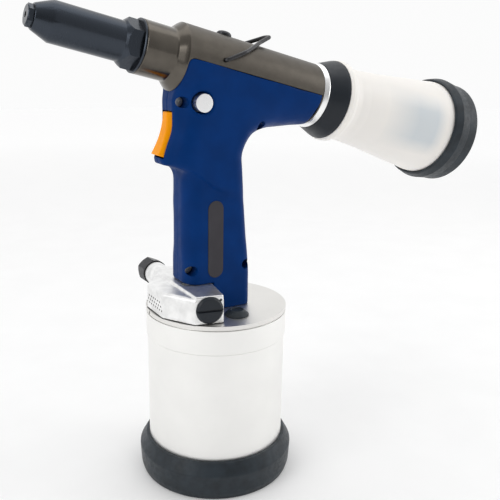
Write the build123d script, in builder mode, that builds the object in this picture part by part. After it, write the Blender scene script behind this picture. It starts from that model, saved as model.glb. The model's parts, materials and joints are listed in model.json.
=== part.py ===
"""Pneumatic-hydraulic blind rivet gun: air cylinder, grip, barrel, nose and mandrel collector.

Millimetres, +Z up. The origin is on the bench, on the axis of the air cylinder. The nose points
towards -X and is tilted up, the collector bottle is at the back, and the gun is as wide in Y as
its rubber boot.
"""
from math import cos, radians, sin
import os

from build123d import *

# ---- driving dimensions ----------------------------------------------------------------------
BARREL_TILT = 13.0  # degrees, nose up
BARREL_HEIGHT = 290.3  # barrel axis above the bench at X = 0
BARREL_R = 22.0
BARREL_RELIEF_R = 20.2  # seat of the grip under the barrel
BORE_R = 15.5  # oil chamber of the draw piston
ROD_R = 7.2  # front rod of the draw piston
RAM_R = 6.5
CAN_R = 49.6
CAN_BORE_R = 46.6
HEAD_R = 50.4  # top plate of the air cylinder
HEAD_TOP = 127.2
BOOT_R = 56.8
BOOT_TOP = 27.3
TUBE_R = 9.6  # hydraulic column inside the grip
GRIP_HALF = 15.8  # half width of the handle
GRIP_WALL = 2.6
GRIP_FRONT_BOTTOM = 147.4
TRIGGER_PIVOT = (-32.5, 258.5)
TRIGGER_HALF = 7.0
VALVE_Z = 240.0
PILOT_X = -21.0
BUTTON = (-20.6, 269.5)
BUTTON_R = 5.9
LABEL_CENTRE = (-9.1, 178.0)
BLOCK_BOTTOM = HEAD_TOP + 0.6
BLOCK_TOP = 145.5
SPOOL_BOX_TOP = 147.0
SPOOL_Z = 137.4
INLET_END = (-23.7, 55.0, 137.2)
INLET_HEX_TURN = 97.0  # degrees from +X to a corner of the inlet nut
HOOK_WIRE_R = 1.35
COLLAR_END = -92.9  # stations along the barrel are counted towards the nose
BOTTLE_END = -196.0
GAP = 0.3  # between pieces that move past each other
FIT = 0.05  # radial running clearance

NOSE = Vector(-cos(radians(BARREL_TILT)), 0, sin(radians(BARREL_TILT)))
UP = Vector(sin(radians(BARREL_TILT)), 0, cos(radians(BARREL_TILT)))
BARREL_ORIGIN = Vector(0, 0, BARREL_HEIGHT)
BARREL_SECTION = Plane(origin=BARREL_ORIGIN, x_dir=NOSE, z_dir=(0, 1, 0))
UPRIGHT_SECTION = Plane(origin=(0, 0, 0), x_dir=(0, 0, 1), z_dir=(0, 1, 0))
SIDE = Plane.XZ  # its normal is -Y, the side of the label


# ---- helpers -----------------------------------------------------------------------------------
def station(along):
    """Plane square to the barrel, with local X up and local Z towards the nose."""
    return Plane(origin=BARREL_ORIGIN + NOSE * along, x_dir=UP, z_dir=NOSE)


def on_barrel(along, above, across=0.0):
    """Point at a station of the barrel, above its axis and across it."""
    return BARREL_ORIGIN + NOSE * along + UP * above + Vector(0, across, 0)


def upright_at(x, y):
    """Section plane of a vertical axis through (x, y)."""
    return Plane(origin=(x, y, 0), x_dir=(0, 0, 1), z_dir=(0, 1, 0))


def turned(section, outline, mode=Mode.ADD):
    """Revolve an outline of (along, radius) points about the section plane's X axis."""
    with BuildSketch(section) as profile:
        with BuildLine():
            Polyline(*outline, close=True)
        make_face()
    revolve(profile.sketch, axis=Axis(section.origin, section.x_dir), mode=mode)


def disc(plane, radius, length, mode=Mode.ADD):
    """Cylinder that starts on a plane and grows along its normal."""
    with BuildSketch(plane) as profile:
        Circle(radius)
    extrude(profile.sketch, amount=length, mode=mode)


def ring(plane, outer, inner, length, mode=Mode.ADD):
    """Tube that starts on a plane and grows along its normal."""
    with BuildSketch(plane) as profile:
        Circle(outer)
        Circle(inner, mode=Mode.SUBTRACT)
    extrude(profile.sketch, amount=length, mode=mode)


def hexagon(plane, across_flats, length, mode=Mode.ADD):
    """Hexagonal prism with a corner on the plane's local X axis."""
    with BuildSketch(plane) as profile:
        RegularPolygon(across_flats / 2, 6, major_radius=False)
    extrude(profile.sketch, amount=length, mode=mode)


def across_y(x, z, start):
    """Plane whose normal is -Y, at depth Y = -start."""
    return Plane(origin=(x, -start, z), x_dir=(1, 0, 0), z_dir=(0, -1, 0))


def coil(plane, coil_radius, wire_radius, length, turns):
    """Round-wire compression spring that starts on a plane."""
    path = Helix(pitch=length / turns, height=length, radius=coil_radius, center=plane.origin,
                 direction=plane.z_dir, mode=Mode.PRIVATE)
    start = Plane(origin=path @ 0, z_dir=path % 0)
    with BuildSketch(start) as wire:
        Circle(wire_radius)
    sweep(wire.sketch, path=path, is_frenet=True)


def grip_outline(inset=0.0):
    """Side view of the grip, seen from -Y, as a face on the middle plane."""
    with BuildSketch(SIDE) as outline:
        with BuildLine():
            FilletPolyline(
                (-30.7, 297.4), (-36.9, 270.7), (-36.7, 252.0), (-44.6, 233.4), (-43.6, 229.8),
                (-31.0, 226.2), (-29.6, GRIP_FRONT_BOTTOM), (-10.2, GRIP_FRONT_BOTTOM),
                (-10.2, HEAD_TOP + 0.2), (19.6, HEAD_TOP + 0.2), (19.3, 152.0), (11.4, 247.3),
                (48.0, 251.4), (66.4, 252.9), (71.3, 273.8),
                radius=[4, 12, 26, 1.5, 2.5, 7, 4, 0.2, 0.2, 1, 60, 21, 30, 1, 0.2], close=True)
        make_face()
        if inset:
            offset(amount=-inset, kind=Kind.INTERSECTION, mode=Mode.REPLACE)
    return outline.sketch


# ---- air cylinder --------------------------------------------------------------------------------
BOOT_FLOOR = 3.0
CAN_FLOOR = 7.0
HEAD_BOTTOM = 124.3
SPIGOT_BOTTOM = 112.0
PISTON_BOTTOM = 10.4
PISTON_TOP = 22.4
NUT_TOP = 17.0
RAM_TOP = 150.0
PISTON_R = CAN_BORE_R - 0.4

with BuildPart() as rubber_boot:
    turned(UPRIGHT_SECTION, [(0, 0), (0, 54.6), (5, 56.0), (18.7, BOOT_R), (BOOT_TOP, 51.6),
                             (BOOT_TOP, CAN_R + FIT), (BOOT_FLOOR, CAN_R + FIT), (BOOT_FLOOR, 0)])

with BuildPart() as cylinder_can:
    turned(UPRIGHT_SECTION, [(BOOT_FLOOR, 0), (BOOT_FLOOR, CAN_R - 2), (BOOT_FLOOR + 2, CAN_R),
                             (106, CAN_R), (107, HEAD_R), (HEAD_BOTTOM - 0.2, HEAD_R),
                             (HEAD_BOTTOM - 0.2, CAN_BORE_R), (CAN_FLOOR, CAN_BORE_R),
                             (CAN_FLOOR, 0)])

with BuildPart() as bumper_ring:
    ring(Plane.XY.offset(CAN_FLOOR), 40, 30, PISTON_BOTTOM - CAN_FLOOR)

HEAD_RIM_SCREW = (4.5, 125.9)
PLUG_X, PLUG_Y = -0.4, -30.6
PLUG_STEM_R = 3.4
BLOCK_SCREWS = [(-17.5, 11.0), (-28.5, -8.0)]
AIR_PORT = (-24.0, -27.0)

with BuildPart() as cylinder_head:
    disc(Plane.XY.offset(SPIGOT_BOTTOM), CAN_BORE_R - 0.1, HEAD_BOTTOM - SPIGOT_BOTTOM)
    disc(Plane.XY.offset(HEAD_BOTTOM), HEAD_R, HEAD_TOP - HEAD_BOTTOM)
    ring(Plane.XY.offset(115.5), CAN_R, CAN_BORE_R - 1.9, 2.6, mode=Mode.SUBTRACT)
    disc(Plane.XY.offset(SPIGOT_BOTTOM), TUBE_R + FIT, 20, mode=Mode.SUBTRACT)
    with Locations((PLUG_X, PLUG_Y, SPIGOT_BOTTOM)):
        Cylinder(PLUG_STEM_R + FIT, 20, align=(Align.CENTER, Align.CENTER, Align.MIN),
                 mode=Mode.SUBTRACT)
    with Locations((*AIR_PORT, SPIGOT_BOTTOM)):
        Cylinder(2.5, 20, align=(Align.CENTER, Align.CENTER, Align.MIN), mode=Mode.SUBTRACT)
    with Locations(*[(x, y, 116) for x, y in BLOCK_SCREWS]):
        Cylinder(1.5, 12, align=(Align.CENTER, Align.CENTER, Align.MIN), mode=Mode.SUBTRACT)
    disc(Plane(origin=(-HEAD_R - 1, *HEAD_RIM_SCREW), z_dir=(1, 0, 0)), 1.2, 6,
         mode=Mode.SUBTRACT)

with BuildPart() as head_seal:
    ring(Plane.XY.offset(115.6), CAN_BORE_R - 0.02, CAN_BORE_R - 1.8, 2.4)

with BuildPart() as head_plug:
    turned(upright_at(PLUG_X, PLUG_Y), [(118, 0), (118, PLUG_STEM_R), (HEAD_TOP, PLUG_STEM_R),
                                        (HEAD_TOP, 8.4), (128.0, 8.5), (129.9, 6.4), (131.3, 4.6),
                                        (130.5, 3.9), (130.5, 0)])

with BuildPart() as air_piston:
    turned(UPRIGHT_SECTION, [(PISTON_BOTTOM, 11), (PISTON_BOTTOM, PISTON_R), (14, PISTON_R),
                             (14, PISTON_R - 3.4), (18, PISTON_R - 3.4), (18, PISTON_R),
                             (PISTON_TOP, PISTON_R), (PISTON_TOP, 5.05), (NUT_TOP, 5.05),
                             (NUT_TOP, 11)])

with BuildPart() as air_piston_seal:
    ring(Plane.XY.offset(14.1), CAN_BORE_R - FIT, PISTON_R - 3.3, 3.8)

with BuildPart() as piston_nut:
    hexagon(Plane.XY.offset(PISTON_BOTTOM + 0.6), 17, NUT_TOP - PISTON_BOTTOM - 0.6)
    disc(Plane.XY, 5.05, 30, mode=Mode.SUBTRACT)

with BuildPart() as ram_rod:
    turned(UPRIGHT_SECTION, [(PISTON_BOTTOM + 0.3, 0), (PISTON_BOTTOM + 0.3, 5.0),
                             (PISTON_TOP, 5.0), (PISTON_TOP, RAM_R), (RAM_TOP - 1, RAM_R),
                             (RAM_TOP, RAM_R - 1), (RAM_TOP, 0)])

# ---- hydraulic column --------------------------------------------------------------------------
TUBE_BOTTOM = 104.5
TUBE_TOP = 266.0
TUBE_BORE_R = 7.2
BUSH_TOP = 126.0

with BuildPart() as hydraulic_tube:
    ring(Plane.XY.offset(TUBE_BOTTOM), TUBE_R, TUBE_BORE_R, TUBE_TOP - TUBE_BOTTOM)

with BuildPart() as tube_nut:
    hexagon(Plane.XY.offset(TUBE_BOTTOM + 0.5), 27, SPIGOT_BOTTOM - TUBE_BOTTOM - 0.5)
    disc(Plane.XY, TUBE_R + FIT, SPIGOT_BOTTOM, mode=Mode.SUBTRACT)

with BuildPart() as ram_bush:
    ring(Plane.XY.offset(TUBE_BOTTOM), TUBE_BORE_R - 0.02, RAM_R + FIT, BUSH_TOP - TUBE_BOTTOM)

with BuildPart() as ram_seal:
    ring(Plane.XY.offset(BUSH_TOP + 0.1), TUBE_BORE_R - 0.02, RAM_R + FIT, 4)

# ---- barrel ------------------------------------------------------------------------------------
BARREL_REAR = -74.4
BARREL_FRONT = 58.1
GRIP_SEAM_FRONT = 31.5
SEAM_GAP = 0.1
GRIP_SEAM_REAR = -73.4
WEB_REAR = 26.0
WEB_FRONT = 41.0
SLEEVE_SEAT_R = 13.5
CHUCK_WELL_R = 11.0
SLEEVE_SEAT = 44.0
HOOK_STATION = 7.0
HOOK_ABOVE = 4.2
FILLER_STATION = 0.5
SPOTFACE = 21.2
GLAND_SEAT_R = 9.5
GLAND_SEAT = 31.0
BOSS_R = 12.8

with BuildPart() as grip_seat:
    extrude(grip_outline(-SEAM_GAP), amount=BARREL_R + 2, both=True)
    ring(station(GRIP_SEAM_REAR - 1), BARREL_R + 2, BARREL_RELIEF_R, 120, mode=Mode.INTERSECT)

with BuildPart() as barrel:
    turned(BARREL_SECTION, [(BARREL_REAR, 0), (BARREL_REAR, BARREL_R - 0.5),
                            (BARREL_REAR + 0.5, BARREL_R), (GRIP_SEAM_FRONT + 0.5, BARREL_R),
                            (33.0, 21.3), (37.2, 17.4), (38.2, 17), (BARREL_FRONT - 0.5, 17),
                            (BARREL_FRONT, 16.5), (BARREL_FRONT, 0)])
    add(grip_seat.part, mode=Mode.SUBTRACT)
    disc(Plane.XY.offset(256), BOSS_R, 18)
    turned(BARREL_SECTION, [(BARREL_REAR - 1, 0), (BARREL_REAR - 1, BORE_R), (WEB_REAR, BORE_R),
                            (WEB_REAR, GLAND_SEAT_R), (GLAND_SEAT, GLAND_SEAT_R),
                            (GLAND_SEAT, ROD_R + FIT), (WEB_FRONT, ROD_R + FIT),
                            (WEB_FRONT, CHUCK_WELL_R), (SLEEVE_SEAT, CHUCK_WELL_R),
                            (SLEEVE_SEAT, SLEEVE_SEAT_R), (BARREL_FRONT + 1, SLEEVE_SEAT_R),
                            (BARREL_FRONT + 1, 0)], mode=Mode.SUBTRACT)
    disc(Plane.XY.offset(250), TUBE_R + 0.02, TUBE_TOP + 0.05 - 250, mode=Mode.SUBTRACT)
    disc(Plane.XY.offset(260), 3, 20, mode=Mode.SUBTRACT)
    filler_hole = Plane(origin=on_barrel(FILLER_STATION, 10), x_dir=NOSE, z_dir=UP)
    disc(filler_hole, 3.0, 20, mode=Mode.SUBTRACT)
    disc(filler_hole.offset(SPOTFACE - 10), 5.6, 4, mode=Mode.SUBTRACT)
    for side in (-1, 1):
        hole = Plane(origin=on_barrel(HOOK_STATION, HOOK_ABOVE, side * 18.2), z_dir=(0, side, 0))
        disc(hole, HOOK_WIRE_R + 0.08, 6, mode=Mode.SUBTRACT)

with BuildPart() as filler_seal:
    ring(Plane(origin=on_barrel(FILLER_STATION, SPOTFACE), x_dir=NOSE, z_dir=UP), 5.2, 3.05, 0.9)

with BuildPart() as filler_screw:
    head = Plane(origin=on_barrel(FILLER_STATION, SPOTFACE + 0.9), x_dir=NOSE, z_dir=UP)
    section = Plane(origin=head.origin, x_dir=UP, z_dir=(0, 1, 0))
    turned(section, [(-5.8, 0), (-5.8, 2.95), (0, 2.95), (0, 5.0), (1.0, 4.9), (2.0, 3.9),
                     (2.5, 2.4), (2.5, 0)])
    hexagon(head.offset(0.8), 3, 4, mode=Mode.SUBTRACT)

HOOK_LEG = 47.0
HOOK_RISE = 32.6  # degrees between the hook and the barrel
hook_dir = (NOSE * -cos(radians(HOOK_RISE)) + UP * sin(radians(HOOK_RISE)))
hook_plane = Plane(origin=on_barrel(HOOK_STATION, HOOK_ABOVE), x_dir=hook_dir,
                   z_dir=hook_dir.cross(Vector(0, 1, 0)))

with BuildPart() as suspension_hook:
    with BuildLine(hook_plane) as wire_path:
        FilletPolyline((0, -18.4), (0, -23.6), (16, -23.0), (35, -9.0), (HOOK_LEG, -3.2),
                       (HOOK_LEG, 3.2), (35, 9.0), (16, 23.0), (0, 23.6), (0, 18.4),
                       radius=[2.0, 14, 10, 3, 3, 10, 14, 2.0])
    with BuildSketch(Plane(origin=wire_path.line @ 0, z_dir=wire_path.line % 0)):
        Circle(HOOK_WIRE_R)
    sweep(path=wire_path.line)

# ---- draw piston and its seals -------------------------------------------------------------------
HEAD_FRONT = -9.0
HEAD_REAR = -21.0
ROD_FRONT = 72.0
MANDREL_BORE_R = 2.8
MANDREL_TUBE_R = 4.2
TUBE_SEAT = -13.0
MANDREL_TUBE_REAR = -96.0
GLAND_FRONT = -67.5

with BuildPart() as draw_piston:
    turned(BARREL_SECTION, [(HEAD_REAR, MANDREL_TUBE_R + 0.03), (HEAD_REAR, BORE_R - 0.1),
                            (-17, BORE_R - 0.1), (-17, 13.1), (-13.4, 13.1),
                            (-13.4, BORE_R - 0.1), (HEAD_FRONT, BORE_R - 0.1), (HEAD_FRONT, ROD_R),
                            (ROD_FRONT, ROD_R), (ROD_FRONT, MANDREL_BORE_R),
                            (TUBE_SEAT, MANDREL_BORE_R), (TUBE_SEAT, MANDREL_TUBE_R + 0.03)])

with BuildPart() as draw_piston_seal:
    ring(station(-16.9), BORE_R - FIT, 13.2, 3.4)

with BuildPart() as mandrel_tube:
    ring(station(MANDREL_TUBE_REAR), MANDREL_TUBE_R, MANDREL_BORE_R, TUBE_SEAT - MANDREL_TUBE_REAR)

with BuildPart() as front_gland_seal:
    ring(station(WEB_REAR + 0.1), GLAND_SEAT_R - 0.02, ROD_R + FIT, 4.8)

with BuildPart() as rear_gland:
    turned(BARREL_SECTION, [(GLAND_FRONT, MANDREL_TUBE_R + FIT), (GLAND_FRONT, BORE_R - 0.05),
                            (-78.6, BORE_R - 0.05), (-78.6, MANDREL_TUBE_R + FIT)])

with BuildPart() as piston_return_spring:
    coil(station(GLAND_FRONT + 1.6), 12.2, 1.4, HEAD_REAR - GLAND_FRONT - 3.2, 8)

with BuildPart() as rear_ring:
    turned(BARREL_SECTION, [(-78.5, BORE_R), (-78.5, 23.1), (-77.6, 23.2), (-75.0, 22.3),
                            (BARREL_REAR - 0.1, 21.7), (BARREL_REAR - 0.1, BORE_R)])

# ---- nose ----------------------------------------------------------------------------------------
SLEEVE_BORE_R = 10.6
SLEEVE_R = 12.5
HEX_REAR = 59.7
SLEEVE_FRONT = 122.5
CHUCK_REAR = 62.0
CHUCK_FRONT = 108.8
CHUCK_R = SLEEVE_BORE_R - GAP

with BuildPart() as front_lock_ring:
    turned(BARREL_SECTION, [(BARREL_FRONT + 0.05, SLEEVE_SEAT_R), (BARREL_FRONT + 0.05, 16.6),
                            (BARREL_FRONT + 0.5, 17.0), (59.2, 17.0), (HEX_REAR - 0.05, 16.5),
                            (HEX_REAR - 0.05, SLEEVE_SEAT_R)])

with BuildPart() as nose_sleeve:
    hexagon(station(HEX_REAR), 27, 12)
    turned(BARREL_SECTION, [(HEX_REAR, 0), (HEX_REAR, 16.4), (65.2, 16.4), (70.4, 12.0),
                            (70.4, 0)], mode=Mode.INTERSECT)
    turned(BARREL_SECTION, [(45, 0), (45, SLEEVE_SEAT_R - 0.05), (HEX_REAR, SLEEVE_SEAT_R - 0.05),
                            (HEX_REAR, SLEEVE_R), (111.9, SLEEVE_R - 0.2), (SLEEVE_FRONT - 0.4, 7.8),
                            (SLEEVE_FRONT, 7.4), (SLEEVE_FRONT, 0)])
    turned(BARREL_SECTION, [(44, 0), (44, SLEEVE_BORE_R), (108, SLEEVE_BORE_R), (110.2, 8.6),
                            (110.2, 5.05), (SLEEVE_FRONT + 1, 5.05), (SLEEVE_FRONT + 1, 0)],
           mode=Mode.SUBTRACT)

with BuildPart() as nosepiece:
    hexagon(station(SLEEVE_FRONT + 0.1), 11.6, 3.0)
    turned(BARREL_SECTION, [(107, 0), (107, 3.0), (108.2, 4.2), (110.4, 4.2), (110.4, 5.0),
                            (SLEEVE_FRONT + 0.1, 5.0), (SLEEVE_FRONT + 0.1, 5.8), (125.0, 5.8),
                            (125.0, 6.2), (125.7, 6.2), (126.1, 5.8), (126.1, 0)])
    disc(station(100), 1.75, 30, mode=Mode.SUBTRACT)

with BuildPart() as chuck_housing:
    turned(BARREL_SECTION, [(CHUCK_REAR, ROD_R + 0.03), (CHUCK_REAR, CHUCK_R), (107, CHUCK_R),
                            (CHUCK_FRONT, 8.2), (CHUCK_FRONT, 5.5), (107, 5.5), (95, 8.0),
                            (ROD_FRONT, 8.0), (ROD_FRONT, ROD_R + 0.03)])

with BuildPart() as jaws:
    turned(BARREL_SECTION, [(95.4, 2.4), (95.4, 7.6), (106.6, 5.3), (106.6, 2.4)])
    for turn in (0, 120, 240):
        slot = station(95).rotated((0, 0, turn))
        with BuildSketch(slot) as gap_shape:
            with Locations((5, 0)):
                Rectangle(10, 1.0)
        extrude(gap_shape.sketch, amount=14, mode=Mode.SUBTRACT)

with BuildPart() as jaw_pusher:
    turned(BARREL_SECTION, [(84, MANDREL_BORE_R), (84, 7.6), (93, 7.6), (95.3, 4.5),
                            (95.3, MANDREL_BORE_R)])

with BuildPart() as jaw_spring:
    coil(station(ROD_FRONT + 0.9), 5.4, 0.75, 84 - ROD_FRONT - 1.8, 4)

# ---- mandrel collector ---------------------------------------------------------------------------
with BuildPart() as collector_collar:
    turned(BARREL_SECTION, [(-78.7, 15.6), (-78.7, 23.3), (-81, 24.2), (-90.5, 28.0),
                            (COLLAR_END, 28.7), (COLLAR_END, 24.6), (-95.5, 24.6), (-95.5, 23.2),
                            (-98.5, 23.2), (-98.5, 24.6), (-104, 24.2), (-104, 22),
                            (-84, 18.5)])

with BuildPart() as collar_seal:
    ring(station(-98.4), 24.7, 23.3, 2.8)

with BuildPart() as collector_bottle:
    turned(BARREL_SECTION, [(COLLAR_END - GAP, 24.8), (COLLAR_END - GAP, 28.6), (-94.4, 29.5),
                            (-98.0, 29.3), (-101.5, 27.4), (-106, 26.5), (-114, 26.8),
                            (-132, 28.6), (-156, 31.8), (-180, 34.9), (-190, 36.4),
                            (-193.8, 36.6), (BOTTLE_END, 36.0), (BOTTLE_END, 34.6), (-192, 34.8),
                            (-180, 33.2), (-156, 30.2), (-132, 27.0), (-114, 25.2), (-106, 24.8)])

with BuildPart() as collector_end_cap:
    turned(BARREL_SECTION, [(-199, 0), (-199, 36.8), (BOTTLE_END - 0.1, 36.8),
                            (BOTTLE_END - 0.1, 34.2), (-190, 33.8), (-190, 31.8), (-196.6, 31.8),
                            (-196.6, 0)])
    with BuildSketch(station(-200)) as vents:
        with PolarLocations(20, 8):
            Circle(3)
    extrude(vents.sketch, amount=12, mode=Mode.SUBTRACT)

with BuildPart() as collector_end_ring:
    turned(BARREL_SECTION, [(-191.5, 36.9), (-191.1, 38.0), (-192.4, 38.8), (-198.2, 40.6),
                            (-206.5, 39.7), (-207.5, 39.3), (-215.5, 39.3), (-217.5, 37.4),
                            (-217.5, 33.5), (-199.1, 33.5), (-199.1, 36.9)])

# ---- grip ----------------------------------------------------------------------------------------
def grip_front_view(inset=0.0):
    """Front view of the grip: as wide as the barrel at the top, narrower at the handle."""
    with BuildSketch(Plane.YZ) as outline:
        with BuildLine() as edge:
            FilletPolyline((0, 320), (22.0 - inset, 320), (22.0 - inset, 284),
                           (18.6 - inset, 236), (GRIP_HALF - inset, 208),
                           (GRIP_HALF - inset, 110), (0, 110), radius=[0, 60, 50, 50, 0])
            mirror(edge.line, about=Plane.YZ)
        make_face()
    return outline.sketch


SCREWS = [(-32.0, 269.7), (25.9, 253.2), (-26.0, 157.3), (15.4, 157.5)]
SCREW_HEAD_Y = 3.5

with BuildPart() as grip_void:
    extrude(grip_outline(GRIP_WALL), amount=30, both=True)
    extrude(grip_front_view(GRIP_WALL), amount=90, both=True, mode=Mode.INTERSECT)
    for x, z in SCREWS:
        disc(across_y(x, z, -30), 4.6, 60, mode=Mode.SUBTRACT)
    for side in (-1, 1):
        pin_boss = Plane(origin=(TRIGGER_PIVOT[0], side * (TRIGGER_HALF + 0.5), TRIGGER_PIVOT[1]),
                         z_dir=(0, side, 0))
        disc(pin_boss, 3.6, 20, mode=Mode.SUBTRACT)

with BuildPart() as grip_body:
    extrude(grip_outline(), amount=30, both=True)
    extrude(grip_front_view(), amount=90, both=True, mode=Mode.INTERSECT)
    add(grip_void.part, mode=Mode.SUBTRACT)
    disc(station(-90), BARREL_RELIEF_R + 0.05, 140, mode=Mode.SUBTRACT)
    disc(Plane.XY.offset(110), TUBE_R + GAP, 45, mode=Mode.SUBTRACT)
    with Locations((PILOT_X, 0, 140)):
        Cylinder(2.3, 30, align=(Align.CENTER, Align.CENTER, Align.MIN), mode=Mode.SUBTRACT)
    with BuildSketch(SIDE) as trigger_slot:
        with BuildLine():
            Polyline((-60, 236.5), (-44.6, 234.2), (-41.0, 232.9), (-35.0, 232.0), (-27, 231.0),
                     (-24, 264.0), (-60, 264.0), close=True)
        make_face()
    extrude(trigger_slot.sketch, amount=TRIGGER_HALF + 0.4, both=True, mode=Mode.SUBTRACT)
    disc(across_y(*TRIGGER_PIVOT, -11.1), 1.52, 22.2, mode=Mode.SUBTRACT)
    for x, z in SCREWS:
        disc(across_y(x, z, SCREW_HEAD_Y), 3.6, 30, mode=Mode.SUBTRACT)
        disc(across_y(x, z, -10), 1.6, 30, mode=Mode.SUBTRACT)
    disc(across_y(*BUTTON, 8), BUTTON_R + GAP, 30, mode=Mode.SUBTRACT)
    disc(across_y(*BUTTON, -40), 3.3, 60, mode=Mode.SUBTRACT)
    with BuildSketch(across_y(*LABEL_CENTRE, GRIP_HALF - 0.6)) as label_pocket:
        SlotOverall(54.0, 11.8, rotation=90)
    extrude(label_pocket.sketch, amount=5, mode=Mode.SUBTRACT)

with BuildPart() as grip_left:
    add(grip_body.part)
    split(bisect_by=Plane.XZ, keep=Keep.TOP)

with BuildPart() as grip_right:
    add(grip_body.part)
    split(bisect_by=Plane.XZ, keep=Keep.BOTTOM)

with BuildPart() as grip_screws:
    for x, z in SCREWS:
        disc(across_y(x, z, SCREW_HEAD_Y + 0.05), 3.1, 2.6)
        disc(across_y(x, z, -8), 1.5, SCREW_HEAD_Y + 8.1)
        hexagon(across_y(x, z, SCREW_HEAD_Y + 1.4), 2.5, 2, mode=Mode.SUBTRACT)

with BuildPart() as label_plate:
    with BuildSketch(across_y(*LABEL_CENTRE, GRIP_HALF - 0.55)):
        SlotOverall(53.7, 11.5, rotation=90)
    extrude(amount=0.75)

# ---- trigger and pilot valve -----------------------------------------------------------------------
PIN_R = 1.5
with BuildPart() as trigger:
    with BuildSketch(SIDE):
        with BuildLine():
            Line((-29.0, 263.2), (-38.6, 263.2))
            ThreePointArc((-38.6, 263.2), (-40.5, 249.0), (-46.4, 235.8))
            Line((-46.4, 235.8), (-40.6, 233.8))
            Line((-40.6, 233.8), (-37.0, 241.5))
            Line((-37.0, 241.5), (-35.2, 252.5))
            Line((-35.2, 252.5), (-29.0, 254.5))
            Line((-29.0, 254.5), (-29.0, 263.2))
        make_face()
    extrude(amount=TRIGGER_HALF, both=True)
    chamfer(trigger.edges().filter_by(GeomType.CIRCLE).sort_by(Axis.Y)[0], 2.4)
    chamfer(trigger.edges().filter_by(GeomType.CIRCLE).sort_by(Axis.Y)[-1], 2.4)
    disc(across_y(*TRIGGER_PIVOT, -10), PIN_R + FIT, 20, mode=Mode.SUBTRACT)

with BuildPart() as trigger_pin:
    disc(across_y(*TRIGGER_PIVOT, -11), PIN_R, 22)

with BuildPart() as trigger_valve_body:
    valve_face = Plane(origin=(-30, 0, VALVE_Z), x_dir=(0, 0, 1), z_dir=(1, 0, 0))
    disc(valve_face, 5.5, 18)
    disc(valve_face, 2.05, 17.2, mode=Mode.SUBTRACT)
    with Locations((PILOT_X, 0, VALVE_Z - 7)):
        Cylinder(2.02, 5, align=(Align.CENTER, Align.CENTER, Align.MIN), mode=Mode.SUBTRACT)

with BuildPart() as trigger_valve_pin:
    pin_face = Plane(origin=(-36.9, 0, VALVE_Z), x_dir=(0, 0, 1), z_dir=(1, 0, 0))
    disc(pin_face, 2.0, 18.4)

with BuildPart() as pilot_tube:
    ring(Plane.XY.offset(SPOOL_BOX_TOP - 4).move(Location((PILOT_X, 0, 0))), 2.0, 1.2,
         VALVE_Z - 2.5 - SPOOL_BOX_TOP + 4)

with BuildPart() as suction_sleeve:
    ring(across_y(*BUTTON, -14), 4.3, 3.05, 22.3)

with BuildPart() as suction_button:
    disc(across_y(*BUTTON, -18), 3.0, 36)
    disc(across_y(*BUTTON, 12.5), BUTTON_R, 9.5)
    chamfer(suction_button.edges().sort_by(Axis.Y)[0], 0.5)

# ---- valve block, silencer and air inlet -------------------------------------------------------------
WALL_RIGHT = Vector(-16.0, -40.5, 0)
WALL_LEFT = Vector(-35.3, -36.5, 0)
wall_along = (WALL_RIGHT - WALL_LEFT).normalized()
wall_out = Vector(wall_along.Y, -wall_along.X, 0)
spool_centre = (WALL_RIGHT + WALL_LEFT) / 2
spool_face = Plane(origin=(spool_centre.X, spool_centre.Y, SPOOL_Z), x_dir=wall_along, z_dir=wall_out)
INLET_DIR = Vector(0, 1, 0)
inlet_end = Plane(origin=INLET_END, z_dir=INLET_DIR,
                  x_dir=(cos(radians(INLET_HEX_TURN)), 0, sin(radians(INLET_HEX_TURN))))
SILENCER = (-46.4, -36.0, -13.4, 11.5, 141.0)  # x from, x to, y from, y to, top


def upright(points, low, high, mode=Mode.ADD):
    """Prism with a plan outline."""
    with BuildSketch(Plane.XY.offset(low)) as plan:
        with BuildLine():
            Polyline(*points, close=True)
        make_face()
    extrude(plan.sketch, amount=high - low, mode=mode)


VENT_ROWS = [(6, 137.8), (7, 135.1), (8, 132.4)]  # holes in a row, height of the row
VENT_PITCH = 3.45
VENT_Y = -1.3
INLET_DRILLING = 74.0  # from the inlet to the spool bore
RIDGE_X = -34.7  # the spool bar stands a little above the silencer along this line
BAR_PLAN = [(-32.5, 36.5), (-15.0, 36.5), (-10.8, 16.4), (-14.0, 16.4), (-14.0, -13.5),
            (-10.8, -13.5), (-16.0, -40.5)]
BLOCK_PLAN = [(-35.3, -36.5), (-48.8, -14.2), (-48.8, 11.5), (-34.0, 31.0), *BAR_PLAN]
SPOOL_BOX_PLAN = [(RIDGE_X, -36.6), (RIDGE_X, 29.5), *BAR_PLAN]

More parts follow.
